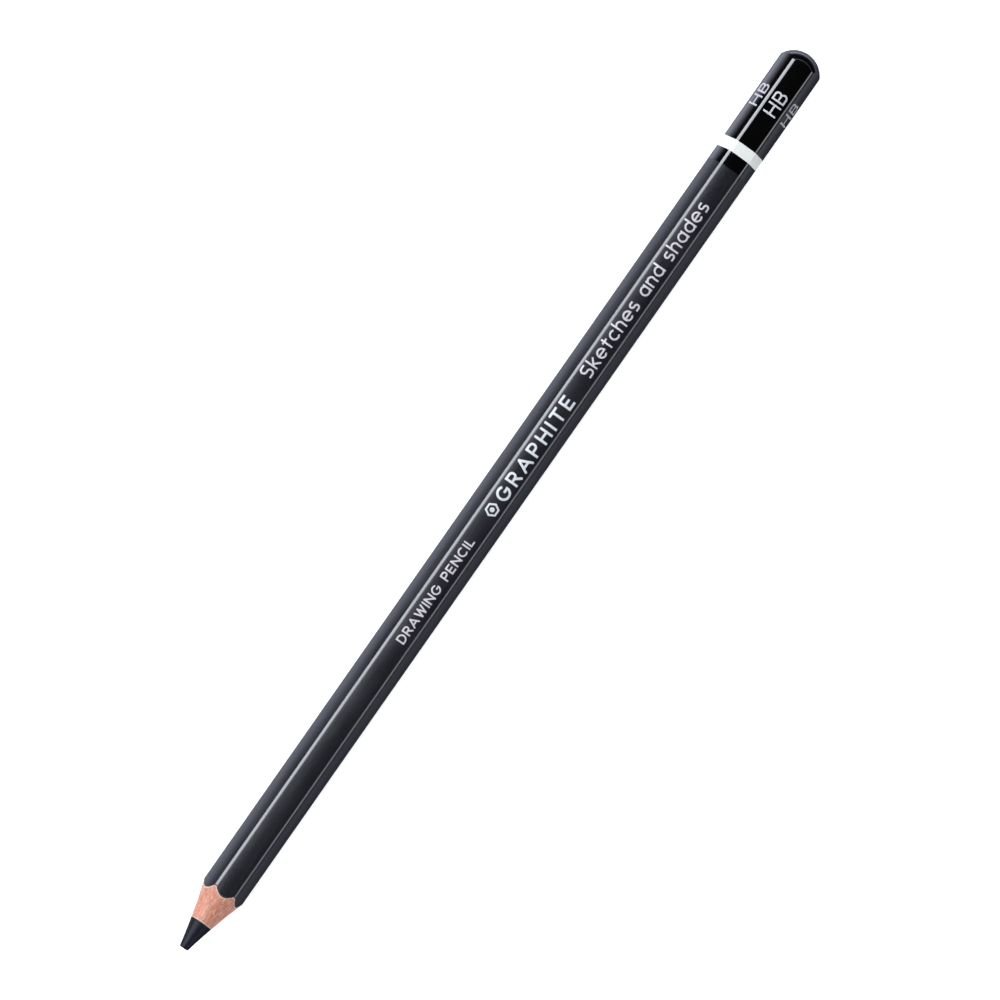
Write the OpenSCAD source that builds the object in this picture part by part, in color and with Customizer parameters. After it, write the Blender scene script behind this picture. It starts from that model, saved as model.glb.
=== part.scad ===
// Hexagonal graphite pencil, sharpened to a long, slightly hollow point and dipped in lacquer at the other end.
//
// The pencil lies on one of its flats. +X runs from the writing tip to the dipped end and +Z is up. The
// origin is under the middle of its length, on the surface that it lies on. The wooden, graphite and
// lacquer pieces are drawn standing on the tip, and along_x() then lays them down.

/* [Barrel] */
// Overall length, from the writing tip to the top of the domed end
length = 175; // [172:0.5:190]
// Distance across opposite flats of the lacquered barrel
across_flats = 6.8; // [6.4:0.05:7.4]
// Radius of the six long rounded corners
corner_r = 1.35; // [0.9:0.05:1.5]
// Thickness of the colour coat
colour_coat_t = 0.06; // [0.03:0.01:0.12]
// Thickness of the pale primer under the colour coat
primer_coat_t = 0.04; // [0.02:0.01:0.08]

/* [Core and slats] */
// Diameter of the graphite core
core_d = 3.8; // [2:0.1:4]
// Thickness of the glue round the core
core_glue_t = 0.05; // [0.03:0.01:0.1]
// Thickness of the glue between the two slats
seam_glue_t = 0.04; // [0.03:0.01:0.1]

/* [Point] */
// Diameter of the blunted writing tip
tip_d = 1.65; // [0.4:0.05:2]
// Length of the point, from the tip to where it would reach the round stock about the barrel
point_length = 12.3; // [9:0.1:25]
// Radius of the slight hollow that the sharpener's blade leaves along the point
hollow_r = 106; // [80:1:400]

/* [Dipped end] */
// Radius of the domed end
dome_r = 4.2; // [4.1:0.1:8]
// How far the first black dip reaches from the domed end
base_dip_length = 22.8; // [21.1:0.1:24]
// How far the white dip reaches from the domed end
ring_dip_length = 20.3; // [18.8:0.1:20.8]
// How far the last black dip reaches from the domed end, which leaves a white ring below it
cap_dip_length = 18.3; // [13:0.1:18.5]
// Thickness of each dip
dip_t = 0.015; // [0.015:0.005:0.03]

/* [Hardness grade] */
// Height of its letters
grade_height = 2.33; // [1:0.01:2.4]
// Width of its strokes
grade_stroke = 0.3; // [0.1:0.01:0.6]
// Length of the two letters together
grade_length = 4.1; // [3:0.1:5]
// Distance from the domed end to the last letter
grade_inset = 7.9; // [5:0.1:8]

/* [Imprint] */
// Depth that the foil is pressed into the lacquer, which is also its thickness
foil_t = 0.01; // [0.005:0.005:0.01]
// Distance from the tip to the line of small capitals
small_start = 59.6; // [40:0.1:60]
// Length of the line of small capitals
small_length = 20.1; // [18:0.1:22]
// Height of the small capitals
small_height = 1.6; // [1:0.01:2.4]
// Width of the strokes of the small capitals
small_stroke = 0.26; // [0.1:0.01:0.4]
// Distance from the tip to the emblem
emblem_start = 84.3; // [83:0.1:84.5]
// Width of the emblem
emblem_size = 2.4; // [1:0.1:2.4]
// Width of the emblem's outline
emblem_line = 0.3; // [0.1:0.05:0.4]
// Distance from the tip to the main word
word_start = 87.5; // [87.5:0.1:89]
// Length of the main word
word_length = 19.8; // [18:0.1:21]
// Height of the main word's letters
word_height = 2.4; // [1:0.01:2.4]
// Width of the main word's strokes
word_stroke = 0.4; // [0.1:0.01:0.6]
// Distance from the tip to the light line
light_start = 111.6; // [111:0.1:113]
// Length of the light line
light_length = 33.8; // [32:0.1:35]
// Height of the light line's small letters
light_height = 1.75; // [1:0.01:1.75]
// Width of the light line's strokes
light_stroke = 0.3; // [0.1:0.01:0.4]

/* [Hidden] */
FACES = [1:6];
GRADE_MARKS = [for (face = FACES) str("grade_mark_", face)];

$fn = 64;
apothem = across_flats / 2;
core_r = core_d / 2;
groove_r = core_r + core_glue_t;
wood_depth = colour_coat_t + primer_coat_t;
all_dips_t = 3 * dip_t;
axis_height = apothem + all_dips_t;
dome_z = length - dome_r;
// Distance from the axis to the barrel's rounded corners
barrel_r = (apothem - corner_r) / cos(30) + corner_r;
// Radius of a round bar that holds the whole barrel with a little to spare
stock_r = barrel_r + 0.3;
// Radius of the domed end under the dips
dome_end_r = dome_r - all_dips_t;
// Where the coats of the barrel stop, just short of where the dome cuts its corners
coats_end = dome_z + sqrt(dome_end_r * dome_end_r - barrel_r * barrel_r) - 0.01;
// Cutting shapes are this much longer than what they cut
over = 1;

// ---- Shapes that the pieces share ----

// Lays down a piece that was drawn standing on its tip: its z becomes +X and its y becomes +Z.
module along_x() {
    translate([-length / 2, 0, axis_height])
        rotate([90, 0, 90])
            children();
}

// Section of the barrel at a depth below the finished colour coat, with two of its flats level.
module section(depth) {
    round_r = corner_r - depth;
    centre_r = (apothem - corner_r) / cos(30);
    polygon([
        for (corner = [0:5]) for (side = [-30, 30])
            centre_r * [cos(60 * corner), sin(60 * corner)]
                + round_r * [cos(60 * corner + side), sin(60 * corner + side)]
    ]);
    for (corner = [0:5])
        rotate(60 * corner)
            translate([centre_r, 0])
                circle(round_r);
}

// Outline that the sharpener's blade leaves outside itself: all that lies beyond the hollow point.
module point_waste() {
    tip = [tip_d / 2, 0];
    shoulder = [stock_r, point_length];
    chord = shoulder - tip;
    half_chord = norm(chord) / 2;
    outward = [chord[1], -chord[0]] / norm(chord);
    polygon([tip, [stock_r + over, 0], [stock_r + over, point_length], shoulder]);
    translate((tip + shoulder) / 2 + outward * sqrt(hollow_r * hollow_r - half_chord * half_chord))
        circle(hollow_r, $fn = 720);
}

// Solid of revolution that sharpening and rounding leave. Depth is below the finished colour coat, and
// less than nothing on the dips, which alone go round the domed end.
module turned(depth) {
    rotate_extrude()
        difference() {
            square([stock_r, length]);
            point_waste();
            translate([0, dome_z])
                difference() {
                    square([2 * dome_r, 2 * dome_r]);
                    circle(dome_end_r - min(depth, 0));
                }
        }
}

// The whole sharpened and domed pencil at a depth below the finished colour coat.
module blank(depth) {
    intersection() {
        linear_extrude(length)
            section(depth);
        turned(depth);
    }
}

// Coat along the whole barrel between two depths. It stops where the rounding of the far end begins.
module barrel_coat(outer_depth, inner_depth) {
    intersection() {
        linear_extrude(coats_end)
            difference() {
                section(outer_depth);
                section(inner_depth);
            }
        turned(outer_depth);
    }
}

// The numbered dip: each one covers the domed end and what is below it, and lies on the one before. The
// first also fills the step that the coats leave round the end of the wood.
module dip(number, reach) {
    difference() {
        intersection() {
            blank(-number * dip_t);
            translate([0, 0, length - reach + length / 2])
                cube([3 * stock_r, 3 * stock_r, length], center = true);
        }
        if (number > 1)
            blank(-(number - 1) * dip_t);
        else {
            blank(wood_depth);
            linear_extrude(coats_end)
                section(0);
        }
    }
}

// ---- Lettering ----
// A glyph is [width, top, strokes] on a grid that runs between the middles of its outermost strokes. Its
// unit is the height of a capital, or of a small letter with no tail. A bar's ends reach half a stroke past
// its points and are cut off level with the letter, a rung stops at its points, and an arc is anticlockwise.

function bar(from, to) = ["bar", from, to];
function stem(x, top = 1) = bar([x, 0], [x, top]);
function rung(y, from, to) = ["rung", [from, y], [to, y]];
function arc(centre, r, from, to) = ["arc", centre, r, from, to];
function bowl(x, y, r) = arc([x, y], r, -90, 90);

function capital(c) =
    c == "A" ? [0.96, 1, [bar([0, 0], [0.48, 1]), bar([0.96, 0], [0.48, 1]), rung(0.3, 0.15, 0.81)]]
    : c == "B" ? [0.68, 1, [stem(0), rung(0, 0, 0.43), rung(0.5, 0, 0.43), rung(1, 0, 0.4),
        bowl(0.43, 0.25, 0.25), bowl(0.4, 0.75, 0.25)]]
    : c == "C" ? [0.86, 1, [arc([0.5, 0.5], 0.5, 48, 312)]]
    : c == "D" ? [0.82, 1, [stem(0), rung(0, 0, 0.32), rung(1, 0, 0.32), bowl(0.32, 0.5, 0.5)]]
    : c == "E" ? [0.64, 1, [stem(0), rung(0, 0, 0.7), rung(0.5, 0, 0.64), rung(1, 0, 0.7)]]
    : c == "G" ? [1, 1, [arc([0.5, 0.5], 0.5, 48, 373), rung(0.5, 0.56, 1)]]
    : c == "H" ? [0.8, 1, [stem(0), stem(0.8), rung(0.5, 0, 0.8)]]
    : c == "I" ? [0, 1, [stem(0)]]
    : c == "L" ? [0.58, 1, [stem(0), rung(0, 0, 0.64)]]
    : c == "N" ? [0.84, 1, [stem(0), stem(0.84), bar([0, 1], [0.84, 0])]]
    : c == "P" ? [0.675, 1, [stem(0), rung(0.45, 0, 0.4), rung(1, 0, 0.4), bowl(0.4, 0.725, 0.275)]]
    : c == "R" ? [0.72, 1, [stem(0), rung(0.45, 0, 0.4), rung(1, 0, 0.4), bowl(0.4, 0.725, 0.275),
        bar([0.36, 0.45], [0.72, 0])]]
    : c == "T" ? [0.8, 1, [bar([0, 1], [0.8, 1]), stem(0.4)]]
    : c == "W" ? [1.24, 1, [bar([0, 1], [0.31, 0]), bar([0.31, 0], [0.62, 1]),
        bar([0.62, 1], [0.93, 0]), bar([0.93, 0], [1.24, 1])]]
    : [0.35, 1, []];

function light_letter(c) =
    c == "S" ? [0.88, 1.36, [rung(0, 0.04, 0.54), rung(0.68, 0.34, 0.54), rung(1.36, 0.34, 0.82),
        arc([0.34, 1.02], 0.34, 90, 270), bowl(0.54, 0.34, 0.34)]]
    : c == "a" ? [0.92, 1, [arc([0.5, 0.5], 0.5, 36, 324), stem(0.92)]]
    : c == "c" ? [0.84, 1, [arc([0.5, 0.5], 0.5, 48, 312)]]
    : c == "d" ? [0.92, 1.42, [arc([0.5, 0.5], 0.5, 36, 324), stem(0.92, 1.42)]]
    : c == "e" ? [1, 1, [arc([0.5, 0.5], 0.5, -13, 312), rung(0.5, 0, 1)]]
    : c == "h" ? [0.84, 1.42, [stem(0, 1.42), arc([0.42, 0.58], 0.42, -10, 150), stem(0.8, 0.5)]]
    : c == "k" ? [0.76, 1.42, [stem(0, 1.42), bar([0, 0.4], [0.68, 1]), bar([0.2, 0.56], [0.76, 0])]]
    : c == "n" ? [0.84, 1, [stem(0), arc([0.42, 0.58], 0.42, -10, 150), stem(0.8, 0.5)]]
    : c == "s" ? [0.68, 1, [rung(0, 0.02, 0.43), rung(0.5, 0.25, 0.43), rung(1, 0.25, 0.64),
        arc([0.25, 0.75], 0.25, 90, 270), bowl(0.43, 0.25, 0.25)]]
    : c == "t" ? [0.56, 1.3, [stem(0.24, 1.3), bar([0, 1], [0.56, 1])]]
    : [0.35, 1, []];

function sum_before(values, i) = i == 0 ? 0 : values[i - 1] + sum_before(values, i - 1);

// A straight stroke whose square ends reach some way past its two points.
module draw_straight(from, to, stroke, past) {
    run = to - from;
    translate(from)
        rotate(atan2(run[1], run[0]))
            translate([-past, -stroke / 2])
                square([norm(run) + 2 * past, stroke]);
}

// An arc of a ring, anticlockwise from one angle to another.
module draw_arc(centre, r, from, to, stroke) {
    reach = 2 * (r + stroke);
    steps = 8;
    translate(centre)
        intersection() {
            difference() {
                circle(r + stroke / 2);
                circle(r - stroke / 2);
            }
            polygon(concat([[0, 0]], [
                for (step = [0:steps])
                    let (angle = from + (to - from) * step / steps)
                        reach * [cos(angle), sin(angle)]
            ]));
        }
}

// One letter with its lower left corner at the origin.
module draw_glyph(glyph, grid, stroke) {
    for (s = glyph[2])
        if (s[0] == "bar")
            intersection() {
                translate([stroke / 2, stroke / 2])
                    draw_straight(s[1] * grid, s[2] * grid, stroke, stroke / 2);
                square([glyph[0] * grid + stroke, glyph[1] * grid + stroke]);
            }
        else
            translate([stroke / 2, stroke / 2])
                if (s[0] == "rung")
                    draw_straight(s[1] * grid, s[2] * grid, stroke, 0);
                else
                    draw_arc(s[1] * grid, s[2] * grid, s[3], s[4], stroke);
}

// A line of glyphs that starts at the origin and is spaced out to fill a length.
module lettering(glyphs, height, stroke, fill) {
    grid = height - stroke;
    widths = [for (glyph = glyphs) glyph[0] * grid + stroke];
    gap = (fill - sum_before(widths, len(widths))) / (len(widths) - 1);
    for (i = [0:len(glyphs) - 1])
        translate([sum_before(widths, i) + gap * i, -height / 2])
            draw_glyph(glyphs[i], grid, stroke);
}

module grade_outline() {
    translate([length - grade_inset - grade_length, 0])
        lettering([for (c = "HB") capital(c)], grade_height, grade_stroke, grade_length);
}

module small_outline() {
    translate([small_start, 0])
        lettering([for (c = "DRAWING PENCIL") capital(c)], small_height, small_stroke, small_length);
}

// A plain hexagon round a dot, like the end of the pencil itself.
module emblem_outline() {
    translate([emblem_start + emblem_size / 2, 0]) {
        difference() {
            circle(d = emblem_size, $fn = 6);
            circle(d = emblem_size - 2 * emblem_line / cos(30), $fn = 6);
        }
        circle(d = emblem_size / 3);
    }
}

module word_outline() {
    translate([word_start, 0])
        lettering([for (c = "GRAPHITE") capital(c)], word_height, word_stroke, word_length);
}

module light_outline() {
    translate([light_start, 0])
        lettering([for (c = "Sketches and shades") light_letter(c)], light_height, light_stroke, light_length);
}

// Gives an outline a thickness, upwards from the bottom of the foil, on one face of the barrel. The
// outline's x is measured from the tip and its y from the middle of the face. Face 1 is the top one. Proud
// is how far the face's surface stands over the colour coat.
module on_face(face, proud, thickness) {
    translate([-length / 2, 0, axis_height])
        rotate([60 * (face - 1), 0, 0])
            translate([0, 0, apothem + proud - foil_t])
                linear_extrude(thickness)
                    children();
}

// Foil pressed in flush with the surface.
module foil(face, proud) {
    on_face(face, proud, foil_t)
        children();
}

// Hollow that the foil leaves in the lacquer.
module foil_hollow(face, proud) {
    on_face(face, proud, over)
        children();
}

// ---- Pieces ----

// Fired graphite and clay, bare at the point.
module graphite_core() {
    color("#2a2b31")
        along_x()
            intersection() {
                cylinder(h = length, r = core_r);
                turned(wood_depth);
            }
}

// Sleeve of glue that bonds the core into the grooves of the slats.
module core_glue() {
    color("#d8c690")
        along_x()
            difference() {
                intersection() {
                    cylinder(h = length, r = groove_r);
                    turned(wood_depth);
                }
                translate([0, 0, -over])
                    cylinder(h = length + 2 * over, r = core_r);
            }
}

// What is left of the wooden blank between two heights about its middle, round the glued-in core.
module grooved_wood(low, high, left, right) {
    difference() {
        intersection() {
            blank(wood_depth);
            translate([left, low, -over])
                cube([right - left, high - low, length + 2 * over]);
        }
        translate([0, 0, -over])
            cylinder(h = length + 2 * over, r = groove_r);
    }
}

// Upper half of the casing.
module upper_slat() {
    color("#dba98a")
        along_x()
            grooved_wood(seam_glue_t / 2, stock_r, -stock_r, stock_r);
}

// Lower half of the casing.
module lower_slat() {
    color("#d29c7c")
        along_x()
            grooved_wood(-stock_r, -seam_glue_t / 2, -stock_r, stock_r);
}

// Film of glue between the slats, on the +Y side of the core.
module seam_glue_left() {
    color("#cdb98a")
        along_x()
            grooved_wood(-seam_glue_t / 2, seam_glue_t / 2, 0, stock_r);
}

// Film of glue between the slats, on the -Y side of the core.
module seam_glue_right() {
    color("#cdb98a")
        along_x()
            grooved_wood(-seam_glue_t / 2, seam_glue_t / 2, -stock_r, 0);
}

// Pale filler under the colour coat. Its edge shows all round the point.
module primer_coat() {
    color("#cfc6bd")
        along_x()
            barrel_coat(colour_coat_t, wood_depth);
}

// Dark satin lacquer along the barrel, with the imprint pressed into its top face.
module colour_coat() {
    color("#2e3036")
        difference() {
            along_x()
                barrel_coat(0, colour_coat_t);
            foil_hollow(1, 0) {
                small_outline();
                emblem_outline();
                word_outline();
                light_outline();
            }
        }
}

// First gloss black dip over the domed end.
module base_dip() {
    color("#060607")
        along_x()
            dip(1, base_dip_length);
}

// White dip, of which only a ring stays in sight.
module ring_dip() {
    color("#eef1f2")
        along_x()
            dip(2, ring_dip_length);
}

// Last gloss black dip, with the hardness grade pressed into all six of its faces.
module cap_dip() {
    color("#040405")
        difference() {
            along_x()
                dip(3, cap_dip_length);
            for (face = FACES)
                foil_hollow(face, all_dips_t)
                    grade_outline();
        }
}

// Line of small capitals nearest the point.
module small_imprint() {
    color("#dcdce0")
        foil(1, 0)
            small_outline();
}

module emblem_imprint() {
    color("#dcdce0")
        foil(1, 0)
            emblem_outline();
}

// Main word.
module word_imprint() {
    color("#e9e9ec")
        foil(1, 0)
            word_outline();
}

// Light line nearest the dipped end.
module light_imprint() {
    color("#dcdce0")
        foil(1, 0)
            light_outline();
}

// Hardness grade on one face of the dipped end.
module grade_mark(face) {
    color("#e9e9ec")
        foil(face, all_dips_t)
            grade_outline();
}

graphite_core();
core_glue();
upper_slat();
lower_slat();
seam_glue_left();
seam_glue_right();
primer_coat();
colour_coat();
base_dip();
ring_dip();
cap_dip();
small_imprint();
emblem_imprint();
word_imprint();
light_imprint();
for (face = FACES)
    grade_mark(face);
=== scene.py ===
"""Looks of a hexagonal graphite pencil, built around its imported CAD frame.

The pencil lies along X on one of its flats, with its writing tip at the low end. Every length is in metres.
"""

import math

import bmesh
import bpy
from mathutils import Matrix, Vector, noise


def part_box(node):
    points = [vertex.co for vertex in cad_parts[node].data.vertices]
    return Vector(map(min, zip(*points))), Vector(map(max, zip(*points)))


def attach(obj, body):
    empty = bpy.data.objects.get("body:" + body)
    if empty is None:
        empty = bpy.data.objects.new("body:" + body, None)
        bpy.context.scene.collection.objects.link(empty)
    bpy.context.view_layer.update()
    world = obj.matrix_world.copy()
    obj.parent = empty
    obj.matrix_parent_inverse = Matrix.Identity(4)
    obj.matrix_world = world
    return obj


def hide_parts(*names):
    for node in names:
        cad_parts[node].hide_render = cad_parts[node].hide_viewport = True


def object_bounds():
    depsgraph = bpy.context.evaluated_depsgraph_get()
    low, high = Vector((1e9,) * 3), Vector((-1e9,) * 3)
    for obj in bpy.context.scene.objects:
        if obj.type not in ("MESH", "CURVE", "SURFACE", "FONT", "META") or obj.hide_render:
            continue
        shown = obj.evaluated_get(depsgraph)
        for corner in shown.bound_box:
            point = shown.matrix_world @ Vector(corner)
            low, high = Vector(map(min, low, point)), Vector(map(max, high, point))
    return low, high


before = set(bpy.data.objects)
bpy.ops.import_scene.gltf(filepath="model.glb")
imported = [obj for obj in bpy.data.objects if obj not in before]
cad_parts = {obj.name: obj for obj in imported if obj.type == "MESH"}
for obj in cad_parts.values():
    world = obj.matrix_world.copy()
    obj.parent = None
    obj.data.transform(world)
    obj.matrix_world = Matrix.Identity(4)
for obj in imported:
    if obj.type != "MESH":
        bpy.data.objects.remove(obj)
cad_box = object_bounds()

MM = 0.001

# ---- Dimensions read from the frame ----


def half_height(node):
    """Half the height of a CAD node, which is its apothem, its radius or half its thickness."""
    low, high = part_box(node)
    return (high.z - low.z) / 2


def start_x(node):
    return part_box(node)[0].x


COAT_LOW, COAT_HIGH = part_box("colour_coat")
TIP_X = cad_box[0].x
CAP_X = cad_box[1].x
AXIS_Z = (COAT_LOW.z + COAT_HIGH.z) / 2
MIDDLE = Vector(((TIP_X + CAP_X) / 2, 0, AXIS_Z))
APOTHEM = half_height("colour_coat")
CORNER_DISTANCE = (COAT_HIGH.y - COAT_LOW.y) / 2
PRIMER_DEPTH = APOTHEM - half_height("primer_coat")
WOOD_DEPTH = APOTHEM - (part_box("upper_slat")[1].z - AXIS_Z)
CORE_R = half_height("graphite_core")
GROOVE_R = half_height("core_glue")
SEAM_HALF = half_height("seam_glue_left")
BASE_RISE = half_height("base_dip") - APOTHEM
RING_RISE = half_height("ring_dip") - APOTHEM
CAP_RISE = half_height("cap_dip") - APOTHEM

# ---- Dimensions that the frame's boxes don't give ----

HOLLOW_R = 106 * MM
DOME_R = 4.2 * MM
DOME_X = CAP_X - DOME_R
# Where the coats of the barrel end, under the dips
COATS_END_X = DOME_X + 1.5 * MM
# The lacquer leaves each face slightly crowned: its surface turns this far from the middle to a corner.
CROWN = math.radians(5)
CORNER_TURN = math.radians(30)
# Rounding that the dips leave where the flats meet the dome
RIM_R = 0.35 * MM
TIP_ROUNDING = 0.08 * MM
FOIL_PROUD = 0.006 * MM
# Foil bends to the crown in strips of this width, between this many cuts on each side of the middle.
FOIL_STRIP = 0.2 * MM
FOIL_CUTS = 6

FACE_STEPS = 10
CORNER_STEPS = 8
WELD = 0.0001 * MM


# ---- The section of the barrel ----

def section_radii():
    """Radii of the crowned faces and of the corners, from the apothem and the distance to a corner."""
    across = CORNER_DISTANCE * math.sin(CORNER_TURN)
    drop = APOTHEM - CORNER_DISTANCE * math.cos(CORNER_TURN)
    face = Vector((math.sin(CROWN), 1 - math.cos(CROWN)))
    corner = Vector((math.sin(CORNER_TURN), 1 - math.cos(CORNER_TURN))) - face
    determinant = face.x * corner.y - face.y * corner.x
    return ((across * corner.y - drop * corner.x) / determinant,
            (face.x * drop - face.y * across) / determinant)


FACE_R, CORNER_R = section_radii()


def face_point(turn):
    """Point (across, up) of the colour coat where it has turned this far from the middle of the top face."""
    on_face = max(-CROWN, min(CROWN, turn))
    across = FACE_R * math.sin(on_face) + CORNER_R * (math.sin(turn) - math.sin(on_face))
    drop = FACE_R * (1 - math.cos(on_face)) + CORNER_R * (math.cos(on_face) - math.cos(turn))
    return Vector((across, APOTHEM - drop))


def section():
    """(point, normal) pairs in (y, z) about the axis, anticlockwise from the +Y corner all the way round."""
    half = [CROWN * i / FACE_STEPS for i in range(FACE_STEPS)]
    half += [CROWN + (CORNER_TURN - CROWN) * i / CORNER_STEPS for i in range(CORNER_STEPS)]
    turns = [CORNER_TURN] + half[:0:-1] + [-turn for turn in half]
    pairs = []
    for face in range(6):
        spin = Matrix.Rotation(math.radians(60 * (face - 1)), 2)
        for turn in turns:
            pairs.append((spin @ face_point(turn), spin @ Vector((math.sin(turn), math.cos(turn)))))
    return pairs


SECTION = section()


def ring(rise):
    """(radius, angle) of each point of the section, moved outwards by a rise."""
    points = [point + normal * rise for point, normal in SECTION]
    return [(point.length, math.atan2(point.y, point.x)) for point in points]


# ---- The sharpened point ----

def hollow_centre():
    """Centre (x, r) of the arc that the sharpener's blade leaves along the point."""
    low = Vector((start_x("core_glue"), CORE_R))
    high = Vector((start_x("colour_coat"), APOTHEM))
    chord = high - low
    outward = Vector((-chord.y, chord.x)).normalized()
    return (low + high) / 2 + outward * math.sqrt(HOLLOW_R ** 2 - (chord.length / 2) ** 2)


HOLLOW_CENTRE = hollow_centre()


def point_r(x):
    """Radius of the sharpened point at x."""
    return HOLLOW_CENTRE.y - math.sqrt(HOLLOW_R ** 2 - (x - HOLLOW_CENTRE.x) ** 2)


def point_x(r):
    """Where the sharpened point reaches a radius."""
    return HOLLOW_CENTRE.x + math.sqrt(HOLLOW_R ** 2 - (HOLLOW_CENTRE.y - r) ** 2)


def ripple(angle, scale, seed):
    """Smooth noise from about -1 to 1 that closes on itself round the axis."""
    return noise.noise(Vector((math.cos(angle) * scale, math.sin(angle) * scale, seed)))


def cut_wander(angle):
    """How far along X the blade's cut through the lacquer wanders on its way round the pencil."""
    sway, nicks = 0.06 * MM, 0.05 * MM
    return sway * ripple(angle, 3, 1) + nicks * ripple(angle, 17, 2)


# ---- Mesh building ----

def spaced(low, high, count):
    return [low + (high - low) * i / (count - 1) for i in range(count)]


def at(x, r, angle):
    """The point at a distance and an angle round the pencil's axis, from +Y towards +Z."""
    return Vector((x, r * math.cos(angle), AXIS_Z + r * math.sin(angle)))


def skin(paths, whole_turn=True, from_axis=False):
    """Closed solid through paths of points, one path for each angle round the axis. A path is a closed loop,
    or it runs from the axis to the axis. A solid of less than a whole turn gets flat ends, each of which
    joins the first half of its loop to the second half."""
    shape = bmesh.new()
    rows = [[shape.verts.new(point) for point in path] for path in paths]
    size = len(rows[0])
    for i in range(len(rows) if whole_turn else len(rows) - 1):
        row, following = rows[i], rows[(i + 1) % len(rows)]
        for j in range(size - 1 if from_axis else size):
            after = (j + 1) % size
            shape.faces.new((row[j], row[after], following[after], following[j]))
    if not whole_turn:
        for row in (rows[0], rows[-1]):
            for j in range(size // 2 - 1):
                shape.faces.new((row[j], row[j + 1], row[size - 2 - j], row[size - 1 - j]))
    bmesh.ops.remove_doubles(shape, verts=shape.verts, dist=WELD)
    bmesh.ops.recalc_face_normals(shape, faces=shape.faces)
    return shape


def add_piece(name, shape, material, replaced, sharp=12):
    """Makes a piece of the pencil from a bmesh. It stands for one CAD node. Its edges stay crisp where they
    turn by more than the sharp angle, in degrees."""
    mesh = bpy.data.meshes.new(name)
    shape.to_mesh(mesh)
    shape.free()
    mesh.shade_smooth()
    mesh.set_sharp_from_angle(angle=math.radians(sharp))
    mesh.materials.append(material)
    piece = bpy.data.objects.new(name, mesh)
    bpy.context.scene.collection.objects.link(piece)
    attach(piece, "root")
    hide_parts(replaced)
    return piece


# ---- Materials ----

def fill_ramp(ramp, stops):
    """Gives a colour ramp its (position, colour) stops."""
    elements = ramp.color_ramp.elements
    while len(elements) < len(stops):
        elements.new(0.5)
    for element, (position, colour) in zip(elements, stops):
        element.position = position
        element.color = (*colour, 1)


class Finish:
    """A material, with short ways to add nodes to it. Places and sizes are in metres in the row frame."""

    def __init__(self, name, **sockets):
        self.material = bpy.data.materials.new(name)
        self.material.use_nodes = True
        self.tree = self.material.node_tree
        self.shader = self.tree.nodes["Principled BSDF"]
        self.place = self.tree.nodes.new("ShaderNodeTexCoord").outputs["Object"]
        for socket, value in sockets.items():
            self.put(self.shader.inputs[socket.replace("_", " ")], value)

    def put(self, socket, value):
        if isinstance(value, bpy.types.NodeSocket):
            self.tree.links.new(value, socket)
        else:
            socket.default_value = value

    def add(self, kind, inputs, **settings):
        made = self.tree.nodes.new("ShaderNode" + kind)
        for name, value in settings.items():
            setattr(made, name, value)
        for name, value in inputs.items():
            self.put(made.inputs[name], value)
        return made

    def lumps(self, size, detail=2.0, distortion=0.0):
        """Noise about 0.5, with lumps of this (x, y, z) size."""
        stretch = self.add("Mapping", {"Vector": self.place, "Scale": [1 / s for s in size]})
        made = self.add("TexNoise", {"Vector": stretch.outputs[0], "Scale": 1.0, "Detail": detail,
                                     "Distortion": distortion})
        return made.outputs["Fac"]

    def scaled(self, value, low, high, to_low, to_high):
        """Value moved from one range to another, with soft ends."""
        made = self.add("MapRange", {"Value": value, "From Min": low, "From Max": high,
                                     "To Min": to_low, "To Max": to_high},
                        interpolation_type="SMOOTHSTEP")
        return made.outputs["Result"]

    def cut_share(self):
        """1 on the slanting face that the blade leaves, and 0 along the barrel."""
        normal = self.tree.nodes.new("ShaderNodeTexCoord").outputs["Normal"]
        split = self.add("SeparateXYZ", {"Vector": normal})
        return self.scaled(split.outputs["X"], -0.2, -0.1, 1, 0)

    def colours(self, value, *stops):
        """Colour for a value, from (value, colour) stops."""
        made = self.add("ValToRGB", {"Fac": value})
        fill_ramp(made, stops)
        return made.outputs["Color"]

    def mix(self, share, a, b):
        """Colour a where the share is 0, and b where it is 1."""
        made = self.add("Mix", {"Factor": share}, data_type="RGBA")
        self.put(next(s for s in made.inputs if s.identifier == "A_Color"), a)
        self.put(next(s for s in made.inputs if s.identifier == "B_Color"), b)
        return next(s for s in made.outputs if s.identifier == "Result_Color")

    def relief(self, *layers):
        """Surface relief from (height, depth) layers, where a height runs from 0 to 1."""
        normal = None
        for height, depth in layers:
            made = self.add("Bump", {"Height": height, "Distance": depth, "Strength": 1.0})
            if normal:
                self.put(made.inputs["Normal"], normal)
            normal = made.outputs["Normal"]
        self.put(self.shader.inputs["Normal"], normal)

    def surface(self, socket, value):
        self.put(self.shader.inputs[socket], value)


def satin_lacquer():
    """Near-black anthracite lacquer with a satin sheen, orange peel and faint lines along the barrel. It is
    matt and brownish where the blade has cut it."""
    finish = Finish("satin_lacquer", IOR=1.5)
    cloud = finish.lumps((9 * MM, 1.5 * MM, 1.5 * MM), 3)
    cut = finish.cut_share()
    black = finish.colours(cloud, (0.3, (0.0012, 0.0012, 0.0042)), (0.7, (0.0026, 0.0020, 0.0058)))
    finish.surface("Base Color", finish.mix(cut, black, (0.035, 0.010, 0.008, 1)))
    sheen = finish.scaled(cloud, 0.3, 0.7, 0.27, 0.31)
    matt = finish.scaled(cut, 0, 1, 0, 0.9)
    finish.surface("Roughness", finish.add("Math", {0: sheen, 1: matt}, operation="MAXIMUM").outputs[0])
    peel = finish.lumps((0.3 * MM, 0.3 * MM, 0.3 * MM), 1)
    lines = finish.lumps((15 * MM, 0.06 * MM, 0.06 * MM), 2)
    finish.relief((peel, 0.0015 * MM), (lines, 0.0006 * MM))
    return finish.material


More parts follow.
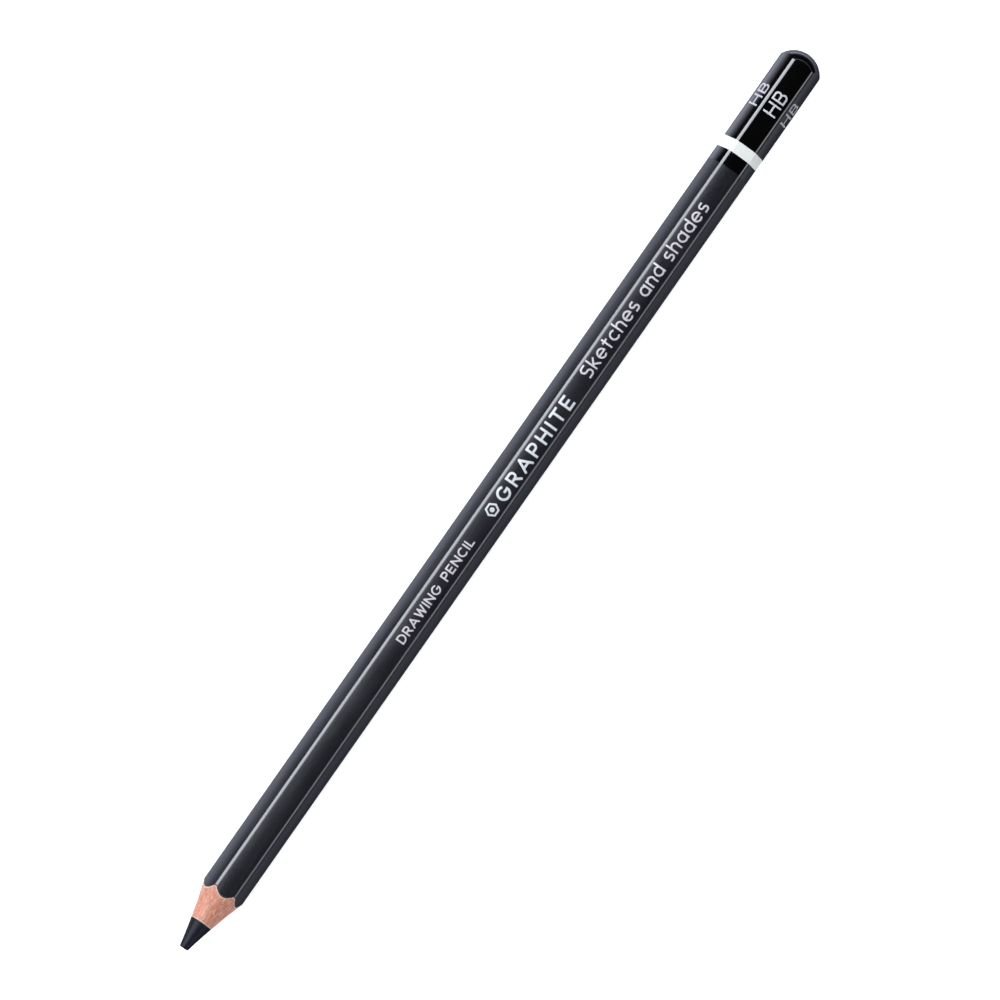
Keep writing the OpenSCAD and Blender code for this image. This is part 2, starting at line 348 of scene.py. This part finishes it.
def black_gloss():
    """Jet black dipped lacquer, smooth and deep, with a soft waviness."""
    finish = Finish("black_gloss", IOR=1.5)
    cloud = finish.lumps((3 * MM, 1.5 * MM, 1.5 * MM), 2)
    finish.surface("Base Color", finish.colours(cloud, (0.3, (0.0012, 0.0012, 0.0014)),
                                                (0.7, (0.0018, 0.0017, 0.0018))))
    finish.surface("Roughness", finish.scaled(cloud, 0.3, 0.7, 0.06, 0.10))
    waves = finish.lumps((1.2 * MM, 0.9 * MM, 0.9 * MM), 1)
    finish.relief((waves, 0.002 * MM))
    return finish.material


def white_gloss():
    """White dipped lacquer, very slightly cool, with faint pooling."""
    finish = Finish("white_gloss", IOR=1.5)
    cloud = finish.lumps((1.5 * MM, 1.2 * MM, 1.2 * MM), 2)
    finish.surface("Base Color", finish.colours(cloud, (0.3, (0.67, 0.69, 0.68)), (0.7, (0.72, 0.73, 0.72))))
    finish.surface("Roughness", finish.scaled(cloud, 0.3, 0.7, 0.12, 0.2))
    finish.relief((cloud, 0.004 * MM))
    return finish.material


def primer():
    """Pale chalky filler."""
    finish = Finish("primer", Roughness=0.8, Specular_IOR_Level=0.1)
    grit = finish.lumps((0.08 * MM, 0.08 * MM, 0.08 * MM), 2)
    finish.surface("Base Color", finish.colours(grit, (0.3, (0.50, 0.36, 0.30)), (0.7, (0.72, 0.58, 0.50))))
    finish.relief((grit, 0.01 * MM))
    return finish.material


def wood():
    """Freshly sharpened pinkish wood, orange in places, with streaks along the grain, open pores, pale
    speckles and a fuzz of cut fibres."""
    finish = Finish("wood", IOR=1.45, Roughness=0.6, Specular_IOR_Level=0.5, Sheen_Weight=0.35,
                    Sheen_Roughness=0.4)
    streaks = finish.lumps((4 * MM, 0.35 * MM, 0.35 * MM), 4, 0.6)
    tone = finish.colours(streaks, (0.32, (0.31, 0.090, 0.040)), (0.5, (0.43, 0.146, 0.086)),
                          (0.68, (0.58, 0.280, 0.20)))
    flush = finish.lumps((2.5 * MM, 1.3 * MM, 1.3 * MM), 1)
    flushed = finish.mix(finish.scaled(flush, 0.48, 0.62, 0, 0.4), tone, (0.55, 0.18, 0.080, 1))
    pores = finish.lumps((0.45 * MM, 0.07 * MM, 0.07 * MM), 2)
    pore_share = finish.scaled(pores, 0.60, 0.68, 0, 0.75)
    with_pores = finish.mix(pore_share, flushed, (0.22, 0.06, 0.028, 1))
    speckle = finish.lumps((0.10 * MM, 0.08 * MM, 0.08 * MM), 3)
    speckle_share = finish.scaled(speckle, 0.52, 0.66, 0, 0.6)
    finish.surface("Base Color", finish.mix(speckle_share, with_pores, (0.68, 0.42, 0.33, 1)))
    chatter = finish.lumps((0.05 * MM, 2 * MM, 2 * MM), 1)
    finish.relief((streaks, 0.02 * MM), (pores, 0.02 * MM), (chatter, 0.004 * MM))
    return finish.material


def graphite():
    """Fired graphite, burnished by the blade, with fine scoring round it."""
    finish = Finish("graphite", IOR=1.5, Specular_IOR_Level=0.12)
    grain = finish.lumps((0.10 * MM, 0.16 * MM, 0.16 * MM), 4)
    finish.surface("Base Color", finish.colours(grain, (0.3, (0.001, 0.001, 0.006)),
                                                (0.7, (0.004, 0.004, 0.012))))
    scoring = finish.lumps((0.04 * MM, 1.2 * MM, 1.2 * MM), 2)
    finish.surface("Roughness", finish.scaled(scoring, 0.3, 0.7, 0.36, 0.54))
    finish.relief((grain, 0.006 * MM), (scoring, 0.004 * MM))
    return finish.material


def glue():
    """Thin beige glue line, smudged by the sharpening."""
    finish = Finish("glue", Roughness=0.5)
    blotches = finish.lumps((0.6 * MM, 0.3 * MM, 0.3 * MM), 2)
    finish.surface("Base Color", finish.colours(blotches, (0.3, (0.34, 0.22, 0.15)),
                                                (0.7, (0.60, 0.46, 0.35))))
    finish.relief((blotches, 0.004 * MM))
    return finish.material


def foil(name, light, dark):
    """Stamped silvery foil between two tones, with the grain of the lacquer under it."""
    finish = Finish(name, Metallic=0.35, IOR=1.5)
    grain = finish.lumps((0.16 * MM, 0.12 * MM, 0.12 * MM), 3)
    finish.surface("Base Color", finish.colours(grain, (0.3, dark), (0.6, light)))
    finish.surface("Roughness", finish.scaled(grain, 0.3, 0.7, 0.34, 0.46))
    finish.relief((grain, 0.003 * MM))
    return finish.material


def pale_floor():
    """White table that is lit a little from below."""
    finish = Finish("pale_floor", Roughness=0.9, Specular_IOR_Level=0.2, Emission_Strength=0.65)
    mottle = finish.lumps((60 * MM, 60 * MM, 60 * MM), 2)
    finish.surface("Base Color", finish.colours(mottle, (0.2, (0.86, 0.87, 0.87)), (0.8, (0.90, 0.91, 0.91))))
    return finish.material


# ---- The core, the casing and the glue ----

def blade_marks(x, angle):
    """Share of its radius that the bare graphite keeps where the blade and the paper have marked it."""
    score_depth, wear_depth, score_spacing = 0.004, 0.006, 0.12 * MM
    scoring = score_depth * noise.noise(Vector((x / score_spacing, math.cos(angle), math.sin(angle))))
    return 1 - abs(scoring) - wear_depth * abs(ripple(angle, 2.2, 5))


def add_core():
    """The graphite: a blunted and slightly rounded tip, the sharpened length, and the rod in the wood."""
    tip_r = point_r(TIP_X)
    sides, past_edge, past_cone = 144, 0.05 * MM, 1 * MM
    blunt = [(TIP_X, tip_r * share) for share in (0, 0.3, 0.55)]
    edge = [(TIP_X + TIP_ROUNDING * (1 - math.cos(a)), tip_r - TIP_ROUNDING * (1 - math.sin(a)))
            for a in spaced(0, math.radians(75), 6)]
    sharpened = [(x, point_r(x)) for x in spaced(edge[-1][0] + past_edge, point_x(CORE_R), 50)]
    bare = blunt + edge + sharpened
    rod = [(x, CORE_R) for x in spaced(point_x(CORE_R) + past_cone, DOME_X, 10)]
    dome_r = DOME_R - CAP_RISE
    crown = [(DOME_X + dome_r * math.cos(a), dome_r * math.sin(a))
             for a in spaced(math.asin(CORE_R / dome_r), 0, 6)]
    paths = []
    for angle in spaced(0, math.tau, sides + 1)[:-1]:
        marked = [at(x, r * blade_marks(x, angle), angle) for x, r in bare]
        paths.append(marked + [at(x, r, angle) for x, r in rod + crown])
    add_piece("core", skin(paths, from_axis=True), graphite(), "graphite_core", sharp=40)


def grain_relief(x, r, angle):
    """Depth of the softer grain that the blade tears out of the cone, which runs along the pencil."""
    length, width, depth = 1.6 * MM, 0.18 * MM, 0.014 * MM
    y, z = r * math.cos(angle), r * math.sin(angle)
    torn = noise.noise(Vector((x / length, y / width, z / width)))
    return depth * max(0, torn)


def rounded_end(r, rise, dome_r, inner_r=0.0, rim_steps=7, dome_steps=16):
    """(x, r) points that round a line at a radius over into a dome, as far in as an inner radius. Surfaces
    whose rises and dome radii differ by the same amount are parallel."""
    rim_r = RIM_R - CAP_RISE + rise
    centre = Vector((DOME_X + math.sqrt((dome_r - rim_r) ** 2 - (r - rim_r) ** 2), r - rim_r))
    lean = math.atan2(centre.y, centre.x - DOME_X)
    rim = [(centre.x + rim_r * math.cos(a), centre.y + rim_r * math.sin(a))
           for a in spaced(math.pi / 2, lean, rim_steps)]
    dome = [(DOME_X + dome_r * math.cos(a), dome_r * math.sin(a))
            for a in spaced(lean, math.asin(inner_r / dome_r), dome_steps)]
    return rim + dome[1:]


def slat_path(r, angle):
    """Loop round one slice of a slat: up the cone, along the barrel, over the dome and back in the groove."""
    start, edge, past_edge = point_x(GROOVE_R), point_x(r), 0.5 * MM
    outside = []
    for x in spaced(start, edge, 60):
        cone_r = point_r(x)
        inset = grain_relief(x, cone_r, angle) if start < x < edge else 0
        outside.append((x + cut_wander(angle) * (x - start) / (edge - start), cone_r - inset))
    outside += [(x, r) for x in spaced(edge + past_edge, DOME_X, 8)]
    outside += rounded_end(r, -WOOD_DEPTH, DOME_R - CAP_RISE, GROOVE_R)
    groove = [at(x, GROOVE_R, angle) for x, _ in reversed(outside)]
    return [at(x, out_r, angle) for x, out_r in outside] + groove


def add_slat(name, node, material, first):
    """Half of the casing, round half a turn from one place in the section."""
    places = ring(-WOOD_DEPTH)
    half = len(places) // 2
    paths = [slat_path(*places[(first + i) % len(places)]) for i in range(half + 1)]
    side = SEAM_HALF if first == 0 else -SEAM_HALF
    for path in (paths[0], paths[-1]):
        for point in path:
            point.z = AXIS_Z + side
    add_piece(name, skin(paths, whole_turn=False), material, node, sharp=35)


def add_casing():
    """The two slats, above and below the seam."""
    material = wood()
    add_slat("upper_casing", "upper_slat", material, 0)
    add_slat("lower_casing", "lower_slat", material, len(SECTION) // 2)


def dress_glue():
    """Gives the glue, which keeps its CAD shapes, its own material."""
    material = glue()
    for node in ("core_glue", "seam_glue_left", "seam_glue_right"):
        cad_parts[node].material_slots[0].material = material


# ---- The coats and the dips ----

def add_coat(name, node, material, depth, thickness):
    """Coat along the barrel, from the wandering edge that the blade cuts to its end under the dips."""
    steps = 50
    paths = []
    for (outer_r, outer_angle), (inner_r, inner_angle) in zip(ring(-depth), ring(-depth - thickness)):
        wander = cut_wander(outer_angle)
        outer = [at(x, outer_r, outer_angle)
                 for x in spaced(point_x(outer_r) + wander, COATS_END_X, steps)]
        inner = [at(x, inner_r, inner_angle)
                 for x in spaced(COATS_END_X, point_x(inner_r) + wander, steps)]
        paths.append(outer + inner)
    add_piece(name, skin(paths), material, node)


def dip_path(place, rise, start):
    """Path of a dip's surface from its lower edge to the top of the dome."""
    r, angle = place
    return ([at(x, r, angle) for x in spaced(start, DOME_X, 12)]
            + [at(x, end_r, angle) for x, end_r in rounded_end(r, rise, DOME_R - CAP_RISE + rise)])


def wood_end_path(place, wood_place, start):
    """Path under the first dip: on the colour coat as far as it goes, and then on the wood and its dome."""
    r, angle = place
    wood_r, wood_angle = wood_place
    return ([at(x, r, angle) for x in spaced(start, COATS_END_X, 8)]
            + [at(COATS_END_X, wood_r, wood_angle)]
            + [at(x, end_r, wood_angle)
               for x, end_r in rounded_end(wood_r, -WOOD_DEPTH, DOME_R - CAP_RISE)])


def add_dip(name, node, material, rise, under):
    """Dip over the domed end, between its own surface and the path of what is under it."""
    start = start_x(node)
    bead, bead_drop, sway = 0.06 * MM, 0.010 * MM, 0.05 * MM
    paths = []
    for i, (r, angle) in enumerate(ring(rise)):
        edge_x = start + sway * ripple(angle, 1.5, rise / MM)
        lower_edge = [at(edge_x, r - bead_drop, angle)]
        outer = dip_path((r, angle), rise, edge_x + bead)
        paths.append(under(i, edge_x)[::-1] + lower_edge + outer)
    add_piece(name, skin(paths, from_axis=True), material, node)


def add_dips():
    """The three dips, each of which lies on the one before."""
    black = black_gloss()
    on_coat, on_wood = ring(0), ring(-WOOD_DEPTH)
    on_base, on_ring = ring(BASE_RISE), ring(RING_RISE)
    add_dip("base_coat", "base_dip", black, BASE_RISE,
            lambda i, x: wood_end_path(on_coat[i], on_wood[i], x))
    add_dip("white_coat", "ring_dip", white_gloss(), RING_RISE,
            lambda i, x: dip_path(on_base[i], BASE_RISE, x))
    add_dip("cap_coat", "cap_dip", black, CAP_RISE,
            lambda i, x: dip_path(on_ring[i], RING_RISE, x))


# ---- The foil ----

def welded(node):
    """A CAD node's shape as a bmesh, with its corners joined and its flat faces whole."""
    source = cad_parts[node].data
    shape = bmesh.new()
    corners = [shape.verts.new(vertex.co) for vertex in source.vertices]
    for polygon in source.polygons:
        shape.faces.new([corners[i] for i in polygon.vertices])
    bmesh.ops.remove_doubles(shape, verts=shape.verts, dist=WELD)
    bmesh.ops.dissolve_limit(shape, angle_limit=math.radians(1), verts=shape.verts, edges=shape.edges)
    return shape


def crown_drop(across, rise):
    """How far a crowned face has dropped at a distance from its middle."""
    radius = FACE_R + rise
    return radius - math.sqrt(radius ** 2 - across ** 2)


def add_foil(node, material, face=1, rise=0.0):
    """Foil of a CAD node, bent to the crown of its face and standing a hair proud of it."""
    shape = welded(node)
    axis = Vector((0, 0, AXIS_Z))
    turn = Matrix.Rotation(math.radians(60 * (face - 1)), 3, "X")
    bmesh.ops.rotate(shape, cent=axis, matrix=turn.inverted(), verts=shape.verts)
    for cut in range(-FOIL_CUTS, FOIL_CUTS + 1):
        bmesh.ops.bisect_plane(shape, geom=shape.verts[:] + shape.edges[:] + shape.faces[:],
                               plane_co=(0, cut * FOIL_STRIP, 0), plane_no=(0, 1, 0), dist=WELD)
    for vertex in shape.verts:
        vertex.co.z += FOIL_PROUD - crown_drop(vertex.co.y, rise)
    bmesh.ops.rotate(shape, cent=axis, matrix=turn, verts=shape.verts)
    bmesh.ops.recalc_face_normals(shape, faces=shape.faces)
    add_piece(node + "_foil", shape, material, node, sharp=40)


def add_imprints():
    bright = foil("bright_foil", (0.54, 0.56, 0.58), (0.44, 0.46, 0.48))
    soft = foil("soft_foil", (0.50, 0.47, 0.50), (0.40, 0.37, 0.40))
    grade = foil("grade_foil", (0.48, 0.47, 0.50), (0.38, 0.37, 0.40))
    add_foil("small_imprint", soft)
    add_foil("emblem_imprint", bright)
    add_foil("word_imprint", bright)
    add_foil("light_imprint", soft)
    for face in range(1, 7):
        add_foil(f"grade_mark_{face}", grade, face, CAP_RISE)


# ---- The stage ----

def add_camera():
    """Camera nearly overhead. The pencil's far end leans away from it, and it stands a little to the left."""
    lens, sensor = 800, 36
    frame_width = 159.75 * MM
    tilt, roll, slant = math.radians(5.6), math.radians(4.4), math.radians(34.97)
    aim_right, aim_up = 0.51 * MM, 0.05 * MM
    back = Vector((-math.sin(tilt), math.cos(tilt) * math.sin(roll), math.cos(tilt) * math.cos(roll)))
    along = (Vector((1, 0, 0)) - back * back.x).normalized()
    up = Matrix.Rotation(slant, 3, back) @ along
    right = up.cross(back)
    aim = MIDDLE + right * aim_right + up * aim_up
    data = bpy.data.cameras.new("camera")
    data.lens = lens
    data.sensor_width = sensor
    data.clip_start, data.clip_end = 0.1, 20
    camera = bpy.data.objects.new("camera", data)
    turned = Matrix((right, up, back)).transposed().to_4x4()
    camera.matrix_world = Matrix.Translation(aim + back * frame_width * lens / sensor) @ turned
    bpy.context.scene.collection.objects.link(camera)
    bpy.context.scene.camera = camera


def add_panel(name, towards, top, bottom, radiance, colour=(1, 1, 1)):
    """Light panel between two angles in degrees from straight up, which lean towards +Y (1) or -Y (-1)."""
    distance, length = 0.8, 0.7
    lean = math.radians((top + bottom) / 2)
    width = 2 * distance * math.tan(math.radians(bottom - top) / 2)
    data = bpy.data.lights.new(name, "AREA")
    data.shape = "RECTANGLE"
    data.size, data.size_y = length, width
    data.energy = radiance * math.pi * length * width
    data.color = colour
    light = bpy.data.objects.new(name, data)
    along = Vector((1, 0, 0))
    back = Vector((0, towards * math.sin(lean), math.cos(lean)))
    turned = Matrix((along, back.cross(along), back)).transposed().to_4x4()
    light.matrix_world = Matrix.Translation(MIDDLE + back * distance) @ turned
    light.visible_camera = False
    bpy.context.scene.collection.objects.link(light)
    return light


def add_lights():
    """A soft key from the left and a fill from the right, and two cards that only show as reflections: a tall
    one on the left and a shorter one on the right."""
    cool = (0.88, 0.92, 1.0)
    add_panel("key", 1, 20, 60, 2.4).visible_glossy = False
    add_panel("fill", -1, 30, 75, 1.2).visible_glossy = False
    add_panel("left_card", 1, 14, 71, 14, cool).visible_diffuse = False
    add_panel("right_card", -1, 44, 78, 3.9, cool).visible_diffuse = False


def height_ramp(tree, height, below, above, brightest):
    """Light from a height as a share of the brightest, from the stops below and above the horizon."""
    below_tint, above_tint = (0.78, 0.82, 1.0), (0.93, 0.97, 1.0)
    stops = [(stop, below_tint) for stop in below] + [(stop, above_tint) for stop in above]
    ramp = tree.nodes.new("ShaderNodeValToRGB")
    fill_ramp(ramp, [((level + 1) / 2, [channel * brightness / brightest for channel in tint])
                     for (level, brightness), tint in stops])
    tree.links.new(height, ramp.inputs["Fac"])
    return ramp.outputs["Color"]


def add_surroundings():
    """Studio with a bright band above the horizon, dark overhead and a cool grey below, brighter on the left.
    Each stop is the height of a direction, from -1 straight down to 1 straight up, and its brightness."""
    left_below = ((-1, 0.6), (-0.65, 1.30), (-0.6, 1.87), (-0.57, 2.84), (-0.53, 3.35), (-0.46, 2.03),
                  (-0.4, 0.98), (-0.33, 0.03))
    left_above = ((0.28, 0.03), (0.34, 4.3), (0.6, 4.05), (0.68, 0.03), (1, 0.005))
    right_below = ((-1, 0.05), (-0.68, 0.12), (-0.58, 0.28), (-0.5, 0.53), (-0.42, 0.72), (-0.34, 0.78),
                   (-0.3, 0.02))
    right_above = ((0.28, 0.01), (0.34, 0.9), (0.6, 1.15), (0.68, 0.01), (1, 0.005))
    brightest = max(brightness for _, brightness in left_above)
    # The two sides blend between these places from right to left
    right_edge, left_edge = -0.5, 0.5
    world = bpy.data.worlds.new("studio")
    bpy.context.scene.world = world
    world.use_nodes = True
    tree = world.node_tree
    background = tree.nodes["Background"]
    place = tree.nodes.new("ShaderNodeTexCoord")
    split = tree.nodes.new("ShaderNodeSeparateXYZ")
    tree.links.new(place.outputs["Generated"], split.inputs[0])
    height = tree.nodes.new("ShaderNodeMapRange")
    height.inputs["From Min"].default_value = -1
    tree.links.new(split.outputs["Z"], height.inputs["Value"])
    leftness = tree.nodes.new("ShaderNodeMapRange")
    leftness.inputs["From Min"].default_value = right_edge
    leftness.inputs["From Max"].default_value = left_edge
    tree.links.new(split.outputs["Y"], leftness.inputs["Value"])
    both = tree.nodes.new("ShaderNodeMixRGB")
    tree.links.new(leftness.outputs["Result"], both.inputs["Fac"])
    for below, above, socket in ((right_below, right_above, "Color1"), (left_below, left_above, "Color2")):
        ramp = height_ramp(tree, height.outputs["Result"], below, above, brightest)
        tree.links.new(ramp, both.inputs[socket])
    tree.links.new(both.outputs["Color"], background.inputs["Color"])
    background.inputs["Strength"].default_value = brightest


def add_floor():
    reach = 8
    shape = bmesh.new()
    bmesh.ops.create_grid(shape, x_segments=1, y_segments=1, size=reach)
    mesh = bpy.data.meshes.new("floor")
    shape.to_mesh(mesh)
    shape.free()
    mesh.materials.append(pale_floor())
    floor = bpy.data.objects.new("floor", mesh)
    floor.location.z = cad_box[0].z - 0.01 * MM
    floor.visible_glossy = False
    bpy.context.scene.collection.objects.link(floor)


# ---- Assembly ----

add_camera()
add_core()
add_casing()
add_coat("primer", "primer_coat", primer(), PRIMER_DEPTH, WOOD_DEPTH - PRIMER_DEPTH)
add_coat("lacquer", "colour_coat", satin_lacquer(), 0, PRIMER_DEPTH)
add_dips()
add_imprints()
dress_glue()

add_lights()
add_surroundings()
add_floor()
bpy.context.scene.view_settings.view_transform = "Standard"
